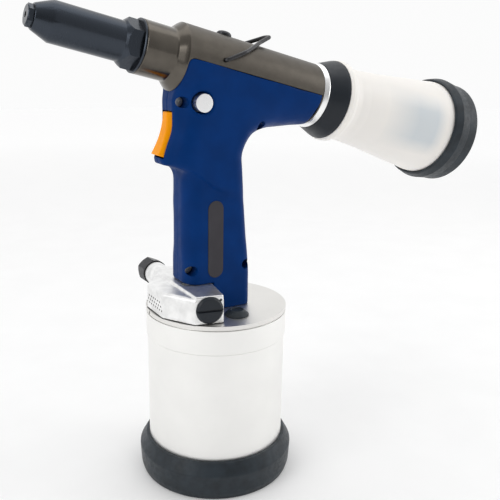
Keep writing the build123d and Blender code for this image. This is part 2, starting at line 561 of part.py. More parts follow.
with BuildPart() as valve_block:
    upright(BLOCK_PLAN, BLOCK_BOTTOM, BLOCK_TOP)
    outer_edges = valve_block.edges().group_by(Axis.Z)[-1].filter_by(
        lambda edge: edge.center().X < -40 and edge.length > 20)
    chamfer(outer_edges, 3.0)
    upright(SPOOL_BOX_PLAN, BLOCK_BOTTOM, SPOOL_BOX_TOP)
    disc(inlet_end.offset(-28), 8.75, 28)
    x_from, x_to, y_from, y_to, top = SILENCER
    upright([(x_from, y_from), (x_to, y_from), (x_to, y_to), (x_from, y_to)],
            BLOCK_BOTTOM - 1, top, mode=Mode.SUBTRACT)
    for count, z in VENT_ROWS:
        with BuildSketch(Plane(origin=(-60, VENT_Y, z), x_dir=(0, 1, 0), z_dir=(1, 0, 0))) as row:
            with GridLocations(VENT_PITCH, 1, count, 1):
                Circle(0.65)
        extrude(row.sketch, amount=14.5, mode=Mode.SUBTRACT)
    disc(Plane(origin=(-18.1, -40.07, 143.7), z_dir=wall_out), 0.9, -6, mode=Mode.SUBTRACT)
    disc(spool_face, 6.0, -22, mode=Mode.SUBTRACT)
    disc(inlet_end, 3.95, -10, mode=Mode.SUBTRACT)
    disc(inlet_end, 2.2, -INLET_DRILLING, mode=Mode.SUBTRACT)
    with Locations(*[(x, y, BLOCK_BOTTOM - 1) for x, y in BLOCK_SCREWS]):
        Cylinder(1.6, 30, align=(Align.CENTER, Align.CENTER, Align.MIN), mode=Mode.SUBTRACT)
    with Locations(*[(x, y, BLOCK_TOP - 4) for x, y in BLOCK_SCREWS]):
        Cylinder(3.0, 10, align=(Align.CENTER, Align.CENTER, Align.MIN), mode=Mode.SUBTRACT)
    with Locations((PILOT_X, 0, SPOOL_BOX_TOP - 4.1)):
        Cylinder(2.02, 10, align=(Align.CENTER, Align.CENTER, Align.MIN), mode=Mode.SUBTRACT)
    with Locations((*AIR_PORT, BLOCK_BOTTOM - 1)):
        Cylinder(2.5, 10, align=(Align.CENTER, Align.CENTER, Align.MIN), mode=Mode.SUBTRACT)

with BuildPart() as block_gasket:
    upright(BLOCK_PLAN, HEAD_TOP, BLOCK_BOTTOM)
    with Locations(*[(x, y, HEAD_TOP - 1) for x, y in [*BLOCK_SCREWS, AIR_PORT]]):
        Cylinder(2.5, 4, align=(Align.CENTER, Align.CENTER, Align.MIN), mode=Mode.SUBTRACT)

with BuildPart() as block_screws:
    for x, y in BLOCK_SCREWS:
        turned(upright_at(x, y), [(117, 0), (117, 1.45), (BLOCK_TOP - 3.95, 1.45),
                                  (BLOCK_TOP - 3.95, 2.8), (BLOCK_TOP - 1, 2.8),
                                  (BLOCK_TOP - 1, 0)])

with BuildPart() as silencer_pad:
    x_from, x_to, y_from, y_to, top = SILENCER
    upright([(x_from + 0.1, y_from + 0.1), (x_to - 0.1, y_from + 0.1), (x_to - 0.1, y_to - 0.1),
             (x_from + 0.1, y_to - 0.1)], BLOCK_BOTTOM + 0.1, top - 0.1)

with BuildPart() as slotted_plug:
    plug_section = Plane(origin=spool_face.origin, x_dir=spool_face.z_dir, z_dir=(0, 0, 1))
    turned(plug_section, [(-5, 0), (-5, 5.95), (-3, 5.95), (-3, 4.85), (-1.2, 4.85), (-1.2, 5.95),
                          (0.02, 5.95), (0.02, 9.3), (0.9, 9.3), (2.4, 7.9), (2.4, 0)])
    with BuildSketch(spool_face.offset(0.9)) as slot_shape:
        Rectangle(22, 1.5)
    extrude(slot_shape.sketch, amount=3, mode=Mode.SUBTRACT)

with BuildPart() as plug_seal:
    ring(spool_face.offset(-2.95), 5.96, 4.9, 1.7)

with BuildPart() as valve_spool:
    turned(plug_section, [(-15, 0), (-15, 5.95), (-12.5, 5.95), (-12.5, 3.6), (-8, 3.6),
                          (-8, 5.95), (-5.3, 5.95), (-5.3, 0)])

with BuildPart() as lock_screw:
    disc(Plane(origin=(-HEAD_R + 1.2, *HEAD_RIM_SCREW), z_dir=(1, 0, 0)), 1.15, 3.6)

with BuildPart() as inlet_seal:
    ring(inlet_end.offset(0.05), 9.5, 3.95, 1.3)

with BuildPart() as inlet_stem:
    disc(inlet_end.offset(-8), 3.9, 12.6)
    disc(inlet_end.offset(4.6), 5.3, 1.6)
    disc(inlet_end.offset(-8), 1.8, 20, mode=Mode.SUBTRACT)

inlet_section = Plane(origin=INLET_END, x_dir=INLET_DIR, z_dir=INLET_DIR.cross(Vector(1, 0, 0)))
with BuildPart() as inlet_nut:
    hexagon(inlet_end.offset(1.5), 17, 13)
    turned(inlet_section, [(1.5, 0), (1.5, 8.9), (2.6, 9.9), (12.2, 9.9), (14.5, 8.0), (14.5, 0)],
           mode=Mode.INTERSECT)
    disc(inlet_end.offset(1), 3.95 + FIT, 4, mode=Mode.SUBTRACT)
    disc(inlet_end.offset(4.5), 5.5, 12, mode=Mode.SUBTRACT)
    disc(inlet_end.offset(6.3), 5.8, 12, mode=Mode.SUBTRACT)

# ---- export --------------------------------------------------------------------------------------
PIECES = {
    "rubber_boot": rubber_boot, "cylinder_can": cylinder_can, "bumper_ring": bumper_ring,
    "cylinder_head": cylinder_head, "head_seal": head_seal, "head_plug": head_plug,
    "air_piston": air_piston, "air_piston_seal": air_piston_seal, "piston_nut": piston_nut,
    "ram_rod": ram_rod, "hydraulic_tube": hydraulic_tube, "tube_nut": tube_nut,
    "ram_bush": ram_bush, "ram_seal": ram_seal, "barrel": barrel, "filler_seal": filler_seal,
    "filler_screw": filler_screw, "suspension_hook": suspension_hook, "draw_piston": draw_piston,
    "draw_piston_seal": draw_piston_seal, "mandrel_tube": mandrel_tube,
    "front_gland_seal": front_gland_seal, "rear_gland": rear_gland,
    "piston_return_spring": piston_return_spring, "rear_ring": rear_ring,
    "front_lock_ring": front_lock_ring, "nose_sleeve": nose_sleeve, "nosepiece": nosepiece,
    "chuck_housing": chuck_housing, "jaws": jaws, "jaw_pusher": jaw_pusher,
    "jaw_spring": jaw_spring, "collector_collar": collector_collar, "collar_seal": collar_seal,
    "collector_bottle": collector_bottle, "collector_end_cap": collector_end_cap,
    "collector_end_ring": collector_end_ring, "grip_left": grip_left, "grip_right": grip_right,
    "grip_screws": grip_screws, "label_plate": label_plate, "trigger": trigger,
    "trigger_pin": trigger_pin, "trigger_valve_body": trigger_valve_body,
    "trigger_valve_pin": trigger_valve_pin, "pilot_tube": pilot_tube,
    "suction_sleeve": suction_sleeve, "suction_button": suction_button,
    "valve_block": valve_block, "block_gasket": block_gasket, "block_screws": block_screws,
    "silencer_pad": silencer_pad, "slotted_plug": slotted_plug, "plug_seal": plug_seal,
    "valve_spool": valve_spool, "lock_screw": lock_screw, "inlet_seal": inlet_seal,
    "inlet_stem": inlet_stem, "inlet_nut": inlet_nut,
}

os.makedirs("parts", exist_ok=True)
for name, piece in PIECES.items():
    piece.part.label = name
    export_step(piece.part, f"parts/{name}.step")
    print(f"{name:24s} solids {len(piece.part.solids())}  volume {piece.part.volume:9.1f}")
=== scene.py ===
"""Pneumatic blind rivet gun: moulded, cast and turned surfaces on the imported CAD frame.

Lengths in the tables below are millimetres, in the CAD frame: +Z up the air cylinder, -X towards
the nose, -Y the side with the label and the suction button. MM turns them into Blender's metres.
"""
import json
from math import atan2, cos, pi, radians, sin, tan

import bmesh
import bpy
import numpy as np
from mathutils import Matrix, Vector


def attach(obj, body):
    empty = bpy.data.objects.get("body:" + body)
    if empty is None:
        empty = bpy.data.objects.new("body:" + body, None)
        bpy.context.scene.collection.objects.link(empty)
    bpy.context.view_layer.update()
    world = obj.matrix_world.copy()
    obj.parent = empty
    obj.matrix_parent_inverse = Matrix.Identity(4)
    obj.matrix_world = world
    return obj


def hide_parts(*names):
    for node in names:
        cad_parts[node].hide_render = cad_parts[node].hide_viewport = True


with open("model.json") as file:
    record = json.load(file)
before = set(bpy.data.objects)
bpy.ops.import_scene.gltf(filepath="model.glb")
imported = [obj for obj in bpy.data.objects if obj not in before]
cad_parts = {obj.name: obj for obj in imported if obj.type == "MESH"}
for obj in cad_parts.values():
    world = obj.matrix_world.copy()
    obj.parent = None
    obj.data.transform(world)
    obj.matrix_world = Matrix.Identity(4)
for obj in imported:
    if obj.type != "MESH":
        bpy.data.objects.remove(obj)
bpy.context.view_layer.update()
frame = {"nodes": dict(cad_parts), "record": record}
nodes = frame["nodes"]

MM = 0.001

# ---- places taken over from the CAD frame ------------------------------------------------------
BARREL_TILT = radians(13.0)
BARREL_ORIGIN = Vector((0, 0, 290.3))
NOSE = Vector((-cos(BARREL_TILT), 0, sin(BARREL_TILT)))
UP = Vector((sin(BARREL_TILT), 0, cos(BARREL_TILT)))
CYLINDER_AXIS = (Vector((0, 0, 0)), Vector((0, 0, 1)))
BARREL_AXIS = (BARREL_ORIGIN, NOSE)
BARREL_R = 22.0
GRIP_WALL = 2.6
BUTTON = (-20.6, 269.5)  # this place and the label's and screws' are (x, z) in the side view
LABEL_CENTRE = (-9.1, 178.0)
LABEL_SIZE = (11.8, 54.0)
SCREWS = [(-32.0, 269.7), (25.9, 253.2), (-26.0, 157.3), (15.4, 157.5)]
SCREW_DEPTH = 3.5  # from the middle plane to the seat of a grip screw
TRIGGER_HALF = 7.0  # half of the trigger's width
HEAD_PLUG = (-0.4, -30.6)  # (x, y) of the rubber plug


def upright(x, y, z=0.0):
    """Axis that goes straight up from a place."""
    return Vector((x, y, z)), Vector((0, 0, 1))


def below_axis(x, z):
    """How far below the barrel's axis a place of the side view lies."""
    return (BARREL_ORIGIN.z - z) * cos(BARREL_TILT) - x * sin(BARREL_TILT)


# ---- outlines ------------------------------------------------------------------------------------
STRAIGHT_HALF = radians(89.5)  # half the angle of a corner that counts as straight
SIDE_SHARE = 0.49  # the most of a side that a rounded corner takes up


def rounded(points, corners):
    """Lines and arcs of a closed outline with rounded corners; a corner of radius 0 is sharp."""
    pts = [Vector(p[:2]) for p in points]
    count = len(pts)
    joints = []
    for i, here in enumerate(pts):
        to_last = pts[i - 1] - here
        to_next = pts[(i + 1) % count] - here
        radius = corners[i]
        if radius <= 0:
            joints.append((here, here, None, 0))
            continue
        a, b = to_last.normalized(), to_next.normalized()
        half = a.angle(b) / 2
        if half > STRAIGHT_HALF:
            joints.append((here, here, None, 0))
            continue
        reach = min(radius / tan(half), SIDE_SHARE * to_last.length, SIDE_SHARE * to_next.length)
        radius = reach * tan(half)
        centre = here + (a + b).normalized() * (radius / sin(half))
        joints.append((here + a * reach, here + b * reach, centre, radius))
    pieces = []
    for i in range(count):
        start, end = joints[i][1], joints[(i + 1) % count][0]
        if (end - start).length > 1e-6:
            pieces.append(("line", start, end))
        enter, leave, centre, radius = joints[(i + 1) % count]
        if centre is not None:
            pieces.append(("arc", enter, leave, centre, radius))
    return pieces


def sampled(pieces, step):
    """Points along a closed outline, with an arc cut every so many degrees."""
    points = [tuple(pieces[0][1])]
    for piece in pieces:
        if piece[0] == "arc":
            _, enter, leave, centre, _ = piece
            a, b = enter - centre, leave - centre
            turn = (atan2(b.y, b.x) - atan2(a.y, a.x) + pi) % (2 * pi) - pi
            parts = max(2, round(abs(turn) / radians(step)))
            for k in range(1, parts):
                angle = turn * k / parts
                points.append((centre.x + a.x * cos(angle) - a.y * sin(angle),
                               centre.y + a.x * sin(angle) + a.y * cos(angle)))
        points.append(tuple(piece[2]))
    return points[:-1]


def outline_distance(pieces, u, v):
    """Signed distance to a closed outline that runs clockwise, below zero inside."""
    best = np.full(np.broadcast(u, v).shape, 1e9)
    signed = best.copy()
    for piece in pieces:
        if piece[0] == "line":
            _, a, b = piece
            along = (b - a).normalized()
            t = np.clip((u - a.x) * along.x + (v - a.y) * along.y, 0, (b - a).length)
            away = np.hypot(u - a.x - along.x * t, v - a.y - along.y * t)
            side = (v - a.y) * along.x - (u - a.x) * along.y
        else:
            _, enter, leave, centre, radius = piece
            middle = ((enter + leave) / 2 - centre).normalized()
            reach = cos((enter - centre).angle(leave - centre) / 2)
            from_centre = np.hypot(u - centre.x, v - centre.y)
            facing = (u - centre.x) * middle.x + (v - centre.y) * middle.y >= reach * from_centre
            gap = from_centre - radius
            a, b = enter - centre, leave - centre
            side = gap if a.x * b.y - a.y * b.x < 0 else -gap
            away = np.where(facing, np.abs(gap), 1e8)
        nearer = away < best
        best = np.where(nearer, away, best)
        signed = np.where(nearer, np.where(side > 0, away, -away), signed)
    return signed


# ---- fields: functions that are below zero inside a shape ---------------------------------------
def smooth_max(a, b, soft):
    """The larger of two fields, blended where they are about equal."""
    h = np.clip(0.5 + 0.5 * (a - b) / soft, 0, 1)
    return b + (a - b) * h + soft * h * (1 - h)


def smooth_min(a, b, soft):
    return -smooth_max(-a, -b, soft)


def step_up(value, start, end):
    """0 before start, 1 after end and smooth between them."""
    t = np.clip((value - start) / (end - start), 0, 1)
    return t * t * (3 - 2 * t)


def round_edge(a, b, radius):
    """Where both fields are below zero, with the edge between them rounded."""
    a, b = a + radius, b + radius
    return np.minimum(np.maximum(a, b), 0) + np.hypot(np.maximum(a, 0), np.maximum(b, 0)) - radius


SETTLE_STEPS = 4  # how often the points of a net are moved onto the surface


def surface_net(field, xs, ys, zs):
    """Closed quad mesh of a field's zero level, with its points moved onto that level."""
    value = field(xs[:, None, None], ys[None, :, None], zs[None, None, :])
    value = np.broadcast_to(value, (len(xs), len(ys), len(zs)))
    inside = value < 0
    cells = tuple(n - 1 for n in value.shape)
    total, hits = np.zeros(cells + (3,)), np.zeros(cells)
    axes = [xs, ys, zs]
    for axis in range(3):
        others = [k for k in range(3) if k != axis]
        low = [slice(None)] * 3
        high = [slice(None)] * 3
        low[axis], high[axis] = slice(0, -1), slice(1, None)
        v0, v1 = value[tuple(low)], value[tuple(high)]
        cross = inside[tuple(low)] != inside[tuple(high)]
        t = np.where(cross, v0 / np.where(cross, v0 - v1, 1), 0)
        place = np.zeros(cross.shape + (3,))
        for k in range(3):
            shape = [1, 1, 1]
            shape[k] = cross.shape[k]
            line = axes[k][:cross.shape[k]].reshape(shape)
            place[..., k] = line
        spacing = np.diff(axes[axis]).reshape([-1 if k == axis else 1 for k in range(3)])
        place[..., axis] += t * spacing
        for da in (0, 1):
            for db in (0, 1):
                cut = [slice(None)] * 3
                cut[others[0]] = slice(da, da + cells[others[0]])
                cut[others[1]] = slice(db, db + cells[others[1]])
                cut = tuple(cut)
                total += np.where(cross[cut][..., None], place[cut], 0)
                hits += cross[cut]
    used = hits > 0
    number = np.full(cells, -1)
    number[used] = np.arange(used.sum())
    points = total[used] / hits[used][:, None]
    faces = []
    for axis in range(3):
        b, c = (axis + 1) % 3, (axis + 2) % 3
        low, high = [slice(None)] * 3, [slice(None)] * 3
        low[axis], high[axis] = slice(0, -1), slice(1, None)
        for k in (b, c):
            low[k] = high[k] = slice(1, -1)
        start, end = inside[tuple(low)], inside[tuple(high)]
        where = np.argwhere(start != end)
        outward = start[start != end]
        where[:, b] += 1
        where[:, c] += 1
        corners = []
        for db, dc in ((-1, -1), (0, -1), (0, 0), (-1, 0)):
            at = where.copy()
            at[:, b] += db
            at[:, c] += dc
            corners.append(number[tuple(at.T)])
        quads = np.stack(corners, 1)
        quads[~outward] = quads[~outward][:, ::-1]
        faces.append(quads)
    for _ in range(SETTLE_STEPS):
        points = points - gradient_step(field, points)
    return points, np.concatenate(faces)


def gradient_step(field, points, reach=0.02, longest=0.3, flattest=0.05):
    """How far points stand off a field's zero level, as vectors no longer than a limit."""
    x, y, z = points.T
    here = field(x, y, z)
    slope = np.stack([field(x + reach, y, z) - field(x - reach, y, z),
                      field(x, y + reach, z) - field(x, y - reach, z),
                      field(x, y, z + reach) - field(x, y, z - reach)], 1) / (2 * reach)
    move = slope * (here / np.maximum((slope ** 2).sum(1), flattest))[:, None]
    size = np.linalg.norm(move, axis=1)[:, None]
    return move * np.minimum(1, longest / np.maximum(size, 1e-9))


# ---- meshes --------------------------------------------------------------------------------------
def mesh_object(name, points, faces):
    """Object from points in millimetres."""
    mesh = bpy.data.meshes.new(name)
    mesh.from_pydata([tuple(p) for p in np.asarray(points) * MM], [], [list(f) for f in faces])
    mesh.validate()
    item = bpy.data.objects.new(name, mesh)
    bpy.context.scene.collection.objects.link(item)
    return item


def faces_outward(item):
    work = bmesh.new()
    work.from_mesh(item.data)
    bmesh.ops.remove_doubles(work, verts=work.verts, dist=1e-7)
    bmesh.ops.recalc_face_normals(work, faces=work.faces)
    work.to_mesh(item.data)
    work.free()
    return item


def basis(direction):
    """Two directions square to a direction and to each other."""
    side = Vector((0, 1, 0)) if abs(direction.y) < 0.9 else Vector((1, 0, 0))
    first = (side - direction * side.dot(direction)).normalized()
    return first, direction.cross(first)


def turned(name, axis, outline, corner=0.35, turns=144):
    """Lathe work about an axis: outline of (along, radius) or (along, radius, corner radius)."""
    origin, direction = axis
    first, second = basis(direction)
    corners = [0 if p[1] == 0 else (p[2] if len(p) > 2 else corner) for p in outline]
    profile = sampled(rounded(outline, corners), step=15)
    points, faces = [], []
    for k in range(turns):
        spoke = first * cos(2 * pi * k / turns) + second * sin(2 * pi * k / turns)
        points += [origin + direction * a + spoke * r for a, r in profile]
    size = len(profile)
    for k in range(turns):
        for i in range(size):
            j, n = (i + 1) % size, (k + 1) % turns
            faces.append((k * size + i, k * size + j, n * size + j, n * size + i))
    return faces_outward(mesh_object(name, points, faces))


def prism(name, outline, low, high, place):
    """Straight-sided block over an outline; place turns (u, v, w) into a point."""
    count = len(outline)
    points = [place(u, v, w) for w in (low, high) for u, v in outline]
    faces = [tuple(range(count)), tuple(range(count, 2 * count))]
    faces += [(i, (i + 1) % count, count + (i + 1) % count, count + i) for i in range(count)]
    return faces_outward(mesh_object(name, points, faces))


def from_field(name, field, xs, ys, zs):
    points, faces = surface_net(field, xs, ys, zs)
    return mesh_object(name, points, faces)


def cut(item, tool, operation="DIFFERENCE"):
    """Boolean of two closed meshes; the tool is used up."""
    modifier = item.modifiers.new("cut", "BOOLEAN")
    modifier.operation = operation
    modifier.solver = "MANIFOLD"
    modifier.object = tool
    bpy.context.view_layer.update()
    evaluated = item.evaluated_get(bpy.context.evaluated_depsgraph_get())
    done = bpy.data.meshes.new_from_object(evaluated)
    if len(done.polygons) == 0:
        raise RuntimeError(f"nothing left of {item.name} after {tool.name}")
    item.modifiers.clear()
    item.data = done
    bpy.data.objects.remove(tool)
    return item


def finish_piece(item, body, slot, stands_for, sharp=38, weighted=True):
    """Shading, material, and the CAD body and nodes that a piece goes with."""
    mesh = item.data
    mesh.materials.clear()
    mesh.materials.append(FINISHES[slot].material)
    mesh.polygons.foreach_set("use_smooth", [True] * len(mesh.polygons))
    mesh.set_sharp_from_angle(angle=radians(sharp))
    if weighted:
        modifier = item.modifiers.new("normals", "WEIGHTED_NORMAL")
        modifier.keep_sharp = True
        modifier.weight = 60
    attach(item, body)
    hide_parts(*stands_for)


def turned_piece(name, axis, body, slot, node, outline, turns=144):
    """Lathe work that stands for one CAD node."""
    finish_piece(turned(name, axis, outline, turns=turns), body, slot, [node])


# ---- materials -----------------------------------------------------------------------------------
class Finish:
    """A procedural material: one Principled shader and what varies over the surface."""

    def __init__(self, name, colour, roughness, metallic=0.0, **sockets):
        self.name = name
        self.material = bpy.data.materials.new(name)
        self.material.use_nodes = True
        self.tree = self.material.node_tree
        self.shader = self.tree.nodes["Principled BSDF"]
        self.colour, self.roughness = colour, roughness
        self.shader.inputs["Base Color"].default_value = (*colour, 1)
        self.shader.inputs["Roughness"].default_value = roughness
        self.shader.inputs["Metallic"].default_value = metallic
        for key, value in sockets.items():
            self.shader.inputs[key.replace("_", " ")].default_value = value

    def node(self, kind, **values):
        made = self.tree.nodes.new(kind)
        for key, value in values.items():
            setattr(made, key, value)
        return made

    def link(self, start, end):
        self.tree.links.new(start, end)

    def noise(self, size, stretch=(1, 1, 1), turn=(0, 0, 0), detail=3.0, rough=0.5):
        """Noise whose features are about size millimetres, longer along a stretched axis."""
        where = self.node("ShaderNodeTexCoord")
        mapping = self.node("ShaderNodeMapping")
        mapping.inputs["Rotation"].default_value = turn
        mapping.inputs["Scale"].default_value = [1 / s for s in stretch]
        texture = self.node("ShaderNodeTexNoise")
        texture.inputs["Scale"].default_value = 1 / (size * MM)
        texture.inputs["Detail"].default_value = detail
        texture.inputs["Roughness"].default_value = rough
        self.link(where.outputs["Object"], mapping.inputs["Vector"])
        self.link(mapping.outputs["Vector"], texture.inputs["Vector"])
        return texture.outputs["Fac"]

    def ramp(self, source, low, high, from_low=0.35, from_high=0.65):
        """A number from low to high as the source goes between two levels."""
        made = self.node("ShaderNodeMapRange")
        made.inputs["From Min"].default_value = from_low
        made.inputs["From Max"].default_value = from_high
        made.inputs["To Min"].default_value = low
        made.inputs["To Max"].default_value = high
        self.link(source, made.inputs["Value"])
        return made.outputs["Result"]

    def mottle(self, source, amount):
        """The colour drifts a little lighter and darker."""
        mix = self.node("ShaderNodeMix", data_type="RGBA")
        mix.inputs["A"].default_value = (*[c * (1 - amount) for c in self.colour], 1)
        mix.inputs["B"].default_value = (*[min(1, c * (1 + amount)) for c in self.colour], 1)
        self.link(self.ramp(source, 0, 1), mix.inputs["Factor"])
        self.link(mix.outputs["Result"], self.shader.inputs["Base Color"])
        return self

    def uneven(self, source, spread):
        """The roughness varies round its value."""
        value = self.ramp(source, max(0.02, self.roughness - spread), self.roughness + spread)
        self.link(value, self.shader.inputs["Roughness"])
        return self

    def relief(self, source, depth):
        """Bump of a depth in millimetres."""
        bump = self.node("ShaderNodeBump")
        bump.inputs["Strength"].default_value = 1.0
        bump.inputs["Distance"].default_value = depth * MM
        self.link(source, bump.inputs["Height"])
        self.link(bump.outputs["Normal"], self.shader.inputs["Normal"])
        return self


LEVEL = (0, 0, 0)
TILTED = (0, -BARREL_TILT, 0)  # turns a texture so that its X axis lies along the barrel
SHOULDER = 32.0  # just behind the barrel's shoulder, from the barrel's origin
NECK_START = (SHOULDER + BARREL_ORIGIN.z * sin(BARREL_TILT)) * MM  # the same from the world origin
NECK_EDGE = 0.4 * MM  # over this length the blasted finish gives way to the turned one
CREAM = (1.0, 0.960, 0.905)
# painted shade: grey put into the bottle's colour where its hollow rear shows through the wall
SEE_THROUGH_SHADE_GREY = (0.70, 0.745, 0.77)
# Where painted shade greys the bottle, standing in for the shade of its hollow rear seen through
# the wall, along the barrel and square to it: from and to value, then the distances from the world
# origin, in metres, between which it goes from one to the other.
SEE_THROUGH_SHADE_ALONG = [(1, 0, -0.094, -0.064), (0, 1, -0.121, -0.111)]
SEE_THROUGH_SHADE_ABOVE = [(0, 1, 0.259, 0.270), (1, 0, 0.292, 0.306)]


def moulded(name, colour, roughness, grain=0.5, depth=0.02, **sockets):
    """Injection-moulded plastic with a fine spark-eroded texture."""
    made = Finish(name, colour, roughness, **sockets)
    made.mottle(made.noise(14), 0.08)
    made.uneven(made.noise(4), 0.05)
    return made.relief(made.noise(grain, detail=2), depth)


def rubber(name, colour, roughness):
    made = Finish(name, colour, roughness, Specular_IOR_Level=0.35)
    made.mottle(made.noise(9), 0.25)
    made.uneven(made.noise(2.5), 0.08)
    return made.relief(made.noise(0.9), 0.03)


def lathed(name, colour, roughness, stretch, turn, depth):
    """Turned metal with fine marks that run round the piece."""
    made = Finish(name, colour, roughness, 1.0)
    marks = made.noise(0.35, stretch, turn, detail=4, rough=0.7)
    made.uneven(marks, 0.03)
    made.mottle(made.noise(22), 0.012)
    return made.relief(marks, depth)


def cast(name, colour, roughness, grain, depth):
    """Blasted or cast metal with a sandy skin."""
    made = Finish(name, colour, roughness, 1.0)
    made.mottle(made.noise(7), 0.09)
    made.uneven(made.noise(1.6), 0.07)
    return made.relief(made.noise(grain, detail=5, rough=0.65), depth)


def ground(name, colour, roughness):
    """Hidden steel, brass and bronze parts with light machining marks."""
    made = Finish(name, colour, roughness, 1.0)
    made.uneven(made.noise(0.8), 0.08)
    return made.mottle(made.noise(5), 0.12)


def blasted_barrel():
    """Bronze-grey barrel: blasted along the body, turned smooth on the neck and its shoulder."""
    made = Finish("bronze_alloy", (0.108, 0.097, 0.083), 0.40, 1.0)
    made.mottle(made.noise(7), 0.07)
    where = made.node("ShaderNodeTexCoord")
    along = made.node("ShaderNodeVectorMath", operation="DOT_PRODUCT")
    along.inputs[1].default_value = NOSE
    made.link(where.outputs["Object"], along.inputs[0])
    fade = (NECK_START - NECK_EDGE, NECK_START)
    made.link(made.ramp(along.outputs["Value"], 0.41, 0.20, *fade), made.shader.inputs["Roughness"])
    made.relief(made.noise(0.30, detail=5, rough=0.65), 0.020)
    grain = made.shader.inputs["Normal"].links[0].from_node
    made.link(made.ramp(along.outputs["Value"], 1.0, 0.06, *fade), grain.inputs["Strength"])
    return made


def milky_plastic():
    """Blow-moulded bottle plastic: frosted cream, with painted grey shade where the hollow rear
    shows through.
    """
    made = Finish("clear_plastic", CREAM, 0.40, IOR=1.45,
                  Transmission_Weight=0.06, Subsurface_Weight=0.2, Subsurface_Scale=0.004,
                  Subsurface_Radius=(1.0, 0.95, 0.85))
    where = made.node("ShaderNodeTexCoord")
    windows = []
    for direction, limits in ((NOSE, SEE_THROUGH_SHADE_ALONG), (UP, SEE_THROUGH_SHADE_ABOVE)):
        reach = made.node("ShaderNodeVectorMath", operation="DOT_PRODUCT")
        reach.inputs[1].default_value = direction
        made.link(where.outputs["Object"], reach.inputs[0])
        windows += [made.ramp(reach.outputs["Value"], *limit) for limit in limits]
    see_through_shade = windows[0]
    for window in windows[1:]:
        both = made.node("ShaderNodeMath", operation="MULTIPLY")
        made.link(see_through_shade, both.inputs[0])
        made.link(window, both.inputs[1])
        see_through_shade = both.outputs["Value"]
    # painted shade: inside these bounds the bottle's cream turns grey
    mix = made.node("ShaderNodeMix", data_type="RGBA")
    mix.inputs["A"].default_value = (*CREAM, 1)
    mix.inputs["B"].default_value = (*SEE_THROUGH_SHADE_GREY, 1)
    made.link(see_through_shade, mix.inputs["Factor"])
    made.link(mix.outputs["Result"], made.shader.inputs["Base Color"])
    made.uneven(made.noise(5), 0.05)
    return made.relief(made.noise(6), 0.03)


FINISHES = {made.name: made for made in (
    moulded("grip_blue", (0.0, 0.0285, 0.145), 0.42, 0.45, 0.012, Specular_IOR_Level=0.07),
    moulded("trigger_orange", (1.0, 0.33, 0.0), 0.36, 0.5, 0.006, Specular_IOR_Level=0.1),
    moulded("label_grey", (0.040, 0.037, 0.044), 0.34, 0.9, 0.001, Specular_IOR_Level=0.25),
    moulded("black_plastic", (0.008, 0.012, 0.018), 0.40, 0.6, 0.008, Specular_IOR_Level=0.35),
    moulded("grey_plastic", (0.14, 0.14, 0.14), 0.45),
    rubber("black_rubber", (0.016, 0.023, 0.030), 0.46),
    rubber("seal_rubber", (0.014, 0.014, 0.015), 0.5),
    lathed("bright_aluminium", (0.90, 0.895, 0.875), 0.40, (40, 40, 1), LEVEL, 0.0005),
    lathed("plate_aluminium", (0.78, 0.77, 0.745), 0.38, (1, 40, 40), LEVEL, 0.0004),
    lathed("turned_aluminium", (0.93, 0.93, 0.93), 0.30, (1, 30, 30), TILTED, 0.001),
    cast("cast_aluminium", (0.84, 0.84, 0.835), 0.42, 0.6, 0.015),
    lathed("nose_steel", (0.047, 0.055, 0.068), 0.25, (1, 30, 30), TILTED, 0.0003),
    ground("ground_steel", (0.56, 0.57, 0.58), 0.25),
    ground("zinc_steel", (0.50, 0.50, 0.48), 0.36),
    ground("spring_steel", (0.055, 0.055, 0.058), 0.32),
    cast("black_steel", (0.045, 0.046, 0.050), 0.36, 0.8, 0.01),
    ground("bearing_bronze", (0.50, 0.34, 0.17), 0.38),
    ground("valve_brass", (0.72, 0.55, 0.26), 0.25),
    blasted_barrel(),
    milky_plastic(),
)}


def dress_cad_nodes():
    """Every CAD node takes the finish of its material slot."""
    for part in frame["record"]["subparts"]:
        item = nodes[part["node"]]
        item.data.materials.clear()
        item.data.materials.append(FINISHES[part["material_slot"]].material)


def soften(name, width, angle=32):
    """Breaks the edges of a CAD node that are sharper than an angle."""
    item = nodes[name]
    weld = item.modifiers.new("weld", "WELD")
    weld.merge_threshold = 1e-6
    plain = item.modifiers.new("plain", "DECIMATE")
    plain.decimate_type = "DISSOLVE"
    plain.angle_limit = radians(0.4)
    bevel = item.modifiers.new("bevel", "BEVEL")
    bevel.width = width * MM
    bevel.segments = 2
    bevel.limit_method = "ANGLE"
    bevel.angle_limit = radians(angle)
    bevel.harden_normals = False
    normals = item.modifiers.new("normals", "WEIGHTED_NORMAL")
    normals.keep_sharp = True


# ---- grip ----------------------------------------------------------------------------------------
GRIP_OUTLINE = rounded(
    [(-30.7, 297.4), (71.3, 273.8), (66.4, 252.9), (48.0, 251.4), (11.4, 247.3), (19.6, 152.0),
     (19.9, 100.0), (-30.6, 100.0), (-30.0, 226.2), (-43.6, 229.8), (-44.6, 233.4),
     (-36.7, 252.0), (-36.9, 270.7)],
    [4, 0.4, 2, 30, 23, 60, 0, 0, 4, 2.2, 1.5, 26, 12])
HANDLE_BOTTOM = 147.4
SKIRT_BOTTOM = 127.4  # the rear of the handle reaches down behind the valve block
SKIRT_FRONT = -10.2
# corner radius of the moulding at places round the side view: (x, z, radius)
EDGE_RADII = [(-30, 297, 1.0), (0, 290, 0.8), (35, 282, 0.8), (70, 273, 0.8), (67, 256, 3.0),
              (52, 252, 6.0), (30, 250, 9.0), (15, 240, 10.0), (11, 220, 9.0), (16, 190, 7.0),
              (19, 155, 6.0), (19, 130, 6.0), (-30, 130, 10.0), (-30, 150, 10.0),
              (-30, 185, 12.0), (-31, 216, 12.0), (-36, 228, 4.0),
              (-44, 232, 1.6), (-40, 243, 1.4), (-37, 262, 1.4), (-34, 285, 1.4)]
HANDLE_HALF = 15.8
